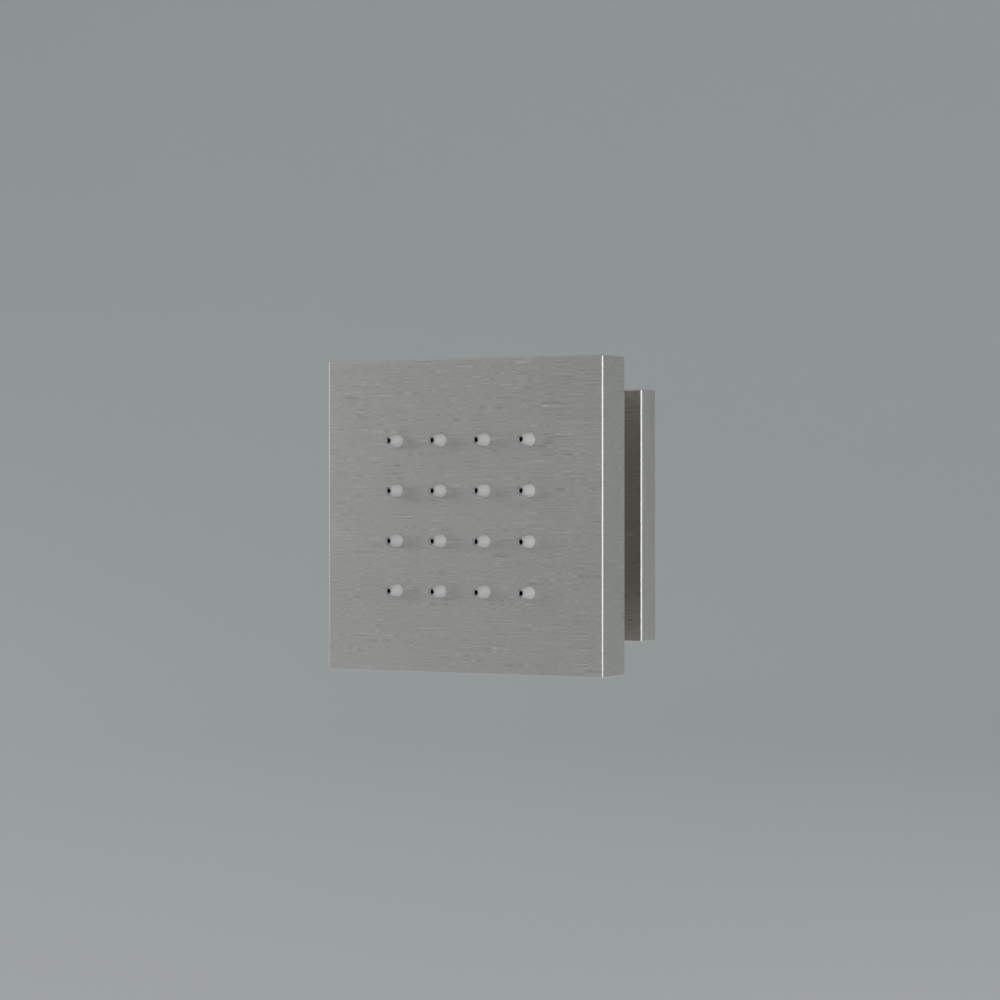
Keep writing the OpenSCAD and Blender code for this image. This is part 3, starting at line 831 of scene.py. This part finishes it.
class SHOWER_OT_ball_stem(ShowerOperator, bpy.types.Operator):
    """Build the stem with its shank, hexagon, neck and hollow ball"""
    bl_idname = "shower.ball_stem"
    bl_label = "Ball stem"

    def build(self, context, s):
        start, end = reach("ball_stem")
        flange_start, flange_end = 10.6, 14.1
        ball_z = 27.0
        ball_r = s["ball_d"] / 2
        neck_r, bore_r, shank_r = 4.5, 3.0, 8.33
        steps = [(None, bore_r, start), (None, shank_r - 0.5, start), (None, shank_r, start + 0.5),
                 (None, shank_r, flange_start)]
        steps += hexagon_steps(27, flange_start, flange_end)
        steps += [(None, 6.5, flange_end), (None, 5.5, flange_end + 0.6), (None, neck_r, flange_end + 1.5)]
        steps += arc(ball_z, ball_r, neck_r, bore_r, -1, 1, 36)
        steps.append((None, bore_r, start))
        bm = bmesh.new()
        stack(bm, 96, steps)
        finish_piece("chromed_ball_stem", bm, "wall_side", ["ball_stem"], material("chrome"), 0.12)


class SHOWER_OT_swivel_nut(ShowerOperator, bpy.types.Operator):
    """Build the fluted nut that closes the swivel"""
    bl_idname = "shower.swivel_nut"
    bl_label = "Swivel nut"

    def build(self, context, s):
        rear, front = reach("swivel_nut")
        ball_z = 27.0
        outer_r = s["nut_d"] / 2
        mouth_r, cage_r, bore_r = 9.2, 10.8, 13.08
        rear_r, slope_z, bore_start = mouth_r + 2.2, rear + 4.6, 29.15
        bevel = 0.6
        outline = fluted(outer_r, s["nut_flutes"], 1.8, 0.7)
        steps = [(None, mouth_r, rear), (None, rear_r, rear)]
        steps += [
            (outline, rear_r + (outer_r - rear_r) * i / 12, rear + (slope_z - rear) * i / 12) for i in range(1, 13)
        ]
        steps += [(outline, outer_r, slope_z + 1.2), (outline, outer_r, front - bevel)]
        steps += [(outline, outer_r - bevel * i / 3, front - bevel * (1 - i / 3)) for i in range(1, 4)]
        steps += [(None, bore_r, front), (None, bore_r, bore_start), (None, cage_r, bore_start)]
        steps += arc(ball_z, cage_r, cage_r, mouth_r, 1, -1, 10)
        steps.append((None, mouth_r, rear))
        bm = bmesh.new()
        stack(bm, 12 * s["nut_flutes"], steps)
        finish_piece("fluted_swivel_nut", bm, "head", ["swivel_nut"], material("chrome"), 0.12)


class SHOWER_OT_swivel_boss(ShowerOperator, bpy.types.Operator):
    """Build the threaded boss with its hexagon, tail and spigot"""
    bl_idname = "shower.swivel_boss"
    bl_label = "Swivel boss"

    def build(self, context, s):
        rear, end = reach("swivel_boss")
        hex_start = 38.018
        cover_back = reach("back_cover")[0]
        tail_end = reach("chamber_lid")[1] - 2.55
        thread_r, bore_r, tail_r, spigot_r, tail_bore_r = 13.0, 11.2, 9.0, 7.0, 4.5
        groove = (44.375, 45.725)
        groove_r = 5.8
        steps = [(None, bore_r, rear), (None, thread_r - 0.4, rear), (None, thread_r, rear + 0.4),
                 (None, thread_r, hex_start)]
        steps += hexagon_steps(30, hex_start, cover_back)
        steps += [
            (None, tail_r, cover_back), (None, tail_r, tail_end), (None, spigot_r, tail_end),
            (None, spigot_r, groove[0]), (None, groove_r, groove[0]), (None, groove_r, groove[1]),
            (None, spigot_r, groove[1]), (None, spigot_r, end), (None, tail_bore_r, end),
            (None, tail_bore_r, hex_start), (None, bore_r, hex_start), (None, bore_r, rear),
        ]
        bm = bmesh.new()
        stack(bm, 96, steps)
        finish_piece("turned_boss", bm, "head", ["swivel_boss"], material("brass"), 0.1)


class SHOWER_OT_small_parts(ShowerOperator, bpy.types.Operator):
    """Give the seals, rings, strainer, spring and chamber parts their finishes"""
    bl_idname = "shower.small_parts"
    bl_label = "Seals and inner parts"

    def build(self, context, s):
        put_materials([
            ("wall_gasket", "black_rubber"), ("plate_o_ring", "black_rubber"), ("stem_seal", "black_rubber"),
            ("cup_seal", "black_rubber"), ("boss_o_ring", "black_rubber"), ("chamber_seal", "black_rubber"),
            ("inlet_filter", "white_plastic"), ("flange_washer", "white_plastic"),
            ("friction_ring_left", "white_plastic"), ("friction_ring_right", "white_plastic"),
            ("seal_carrier", "white_plastic"), ("flow_regulator", "blue_plastic"),
            ("wave_spring", "bright_steel"), ("chamber_screws", "bright_steel"), ("boss_lock_nut", "brass"),
            ("spray_tray", "grey_plastic"), ("chamber_lid", "grey_plastic"),
        ])


FLOOR_Z = -0.15
BOUNCE_DEPTH = 0.145
CAMERA_AWAY = Vector((0.4517, -0.8455, 0.00507))


class SHOWER_OT_stage(ShowerOperator, bpy.types.Operator):
    """Build the pale floor, the soft studio light and the camera"""
    bl_idname = "shower.stage"
    bl_label = "Stage"

    def build(self, context, s):
        stage = context.scene.shower_stage
        self.floor(stage)
        self.sky(context, stage)
        self.softbox("key_softbox", 64, 5, 1.5, (0.8, 0.4), stage.key)
        self.softbox("fill_softbox", -74, 15, 1.6, (1.8, 1.2), stage.fill)
        self.softbox("bounce_panel", 0, -90, BOUNCE_DEPTH, (0.6, 0.6), stage.bounce)
        data = bpy.data.cameras.new("photo_camera")
        data.lens = stage.lens
        data.sensor_width = 36
        data.clip_start = 0.01
        data.clip_end = 20
        camera = bpy.data.objects.new("photo_camera", data)
        bpy.context.scene.collection.objects.link(camera)
        camera.location = CAMERA_AWAY
        camera.rotation_euler = (math.radians(90), 0, stage.view_side)
        context.scene.camera = camera

    def floor(self, stage):
        """A flat round floor that curves up into a rim, so that no horizon shows."""
        bm = bmesh.new()
        flat_r, curve_w, curve_h, count = 0.9, 1.9, 1.5, 32
        path = [(0.0, 0.0), (flat_r, 0.0)]
        for i in range(1, count + 1):
            a = math.radians(90 * i / count)
            path.append((flat_r + curve_w * math.sin(a), curve_h * (1 - math.cos(a))))
        chain = [bm.verts.new((r, 0, FLOOR_Z + z)) for r, z in path]
        edges = [bm.edges.new(pair) for pair in zip(chain, chain[1:])]
        bmesh.ops.spin(
            bm, geom=chain + edges, cent=(0, 0, 0), axis=(0, 0, 1), dvec=(0, 0, 0),
            angle=2 * math.pi, steps=96, use_merge=True, use_duplicate=False,
        )
        bmesh.ops.remove_doubles(bm, verts=bm.verts, dist=1e-5)
        bmesh.ops.recalc_face_normals(bm, faces=bm.faces)
        for face in bm.faces:
            face.smooth = True
            if face.normal.z < -0.1:
                face.normal_flip()
        mesh = bpy.data.meshes.new("pale_floor")
        bm.to_mesh(mesh)
        bm.free()
        floor = bpy.data.objects.new("pale_floor", mesh)
        bpy.context.scene.collection.objects.link(floor)
        f = Finish("pale_floor")
        cloud = f.noise((3, 3, 3), 2.0, 0.5)
        mesh.materials.append(f.shade(f.tint(stage.floor, 0.015, cloud), 0.85 + cloud * 0.05))

    def sky(self, context, stage):
        world = bpy.data.worlds.new("studio")
        world.use_nodes = True
        background = world.node_tree.nodes["Background"]
        background.inputs["Color"].default_value = (1.0, 1.0, 1.0, 1)
        background.inputs["Strength"].default_value = stage.sky
        context.scene.world = world

    def softbox(self, name, azimuth, elevation, away, size, watts):
        """An area light that looks at the origin; azimuth turns to the right of the head's axis."""
        data = bpy.data.lights.new(name, "AREA")
        data.shape = "RECTANGLE"
        data.size, data.size_y = size
        data.energy = watts
        lamp = bpy.data.objects.new(name, data)
        lamp.visible_camera = False
        bpy.context.scene.collection.objects.link(lamp)
        side, up = math.radians(azimuth), math.radians(elevation)
        towards = Vector((math.sin(side) * math.cos(up), -math.cos(side) * math.cos(up), math.sin(up)))
        lamp.location = towards * away
        lamp.rotation_euler = towards.to_track_quat("Z", "Y").to_euler()


class SHOWER_PT_panel(bpy.types.Panel):
    bl_idname = "SHOWER_PT_panel"
    bl_label = "Square shower head"
    bl_space_type = "VIEW_3D"
    bl_region_type = "UI"
    bl_category = "Shower"

    def draw(self, context):
        for operator in OPERATORS:
            self.layout.operator(operator.bl_idname)
        for name in GROUPS:
            group = getattr(context.scene, name)
            column = self.layout.column()
            for key in group.__annotations__:
                column.prop(group, key)


OPERATORS = (
    SHOWER_OT_stage,
    SHOWER_OT_head_shell,
    SHOWER_OT_nozzle_mat,
    SHOWER_OT_back_cover,
    SHOWER_OT_wall_plate,
    SHOWER_OT_wall_nipple,
    SHOWER_OT_ball_stem,
    SHOWER_OT_swivel_nut,
    SHOWER_OT_swivel_boss,
    SHOWER_OT_small_parts,
)
GROUPS = {
    "shower_sizes": ShowerSizes,
    "shower_colours": ShowerColours,
    "shower_stage": ShowerStage,
}


def register():
    for group in GROUPS.values():
        bpy.utils.register_class(group)
    for name, group in GROUPS.items():
        setattr(bpy.types.Scene, name, bpy.props.PointerProperty(type=group))
    for operator in OPERATORS:
        bpy.utils.register_class(operator)
    bpy.utils.register_class(SHOWER_PT_panel)


def unregister():
    bpy.utils.unregister_class(SHOWER_PT_panel)
    for operator in reversed(OPERATORS):
        bpy.utils.unregister_class(operator)
    for name in GROUPS:
        delattr(bpy.types.Scene, name)
    for group in reversed(list(GROUPS.values())):
        bpy.utils.unregister_class(group)


def main():
    register()
    bpy.ops.shower.stage()
    bpy.ops.shower.head_shell()
    bpy.ops.shower.nozzle_mat()
    bpy.ops.shower.back_cover()
    bpy.ops.shower.wall_plate()
    bpy.ops.shower.wall_nipple()
    bpy.ops.shower.ball_stem()
    bpy.ops.shower.swivel_nut()
    bpy.ops.shower.swivel_boss()
    bpy.ops.shower.small_parts()


if __name__ == "__main__":
    main()
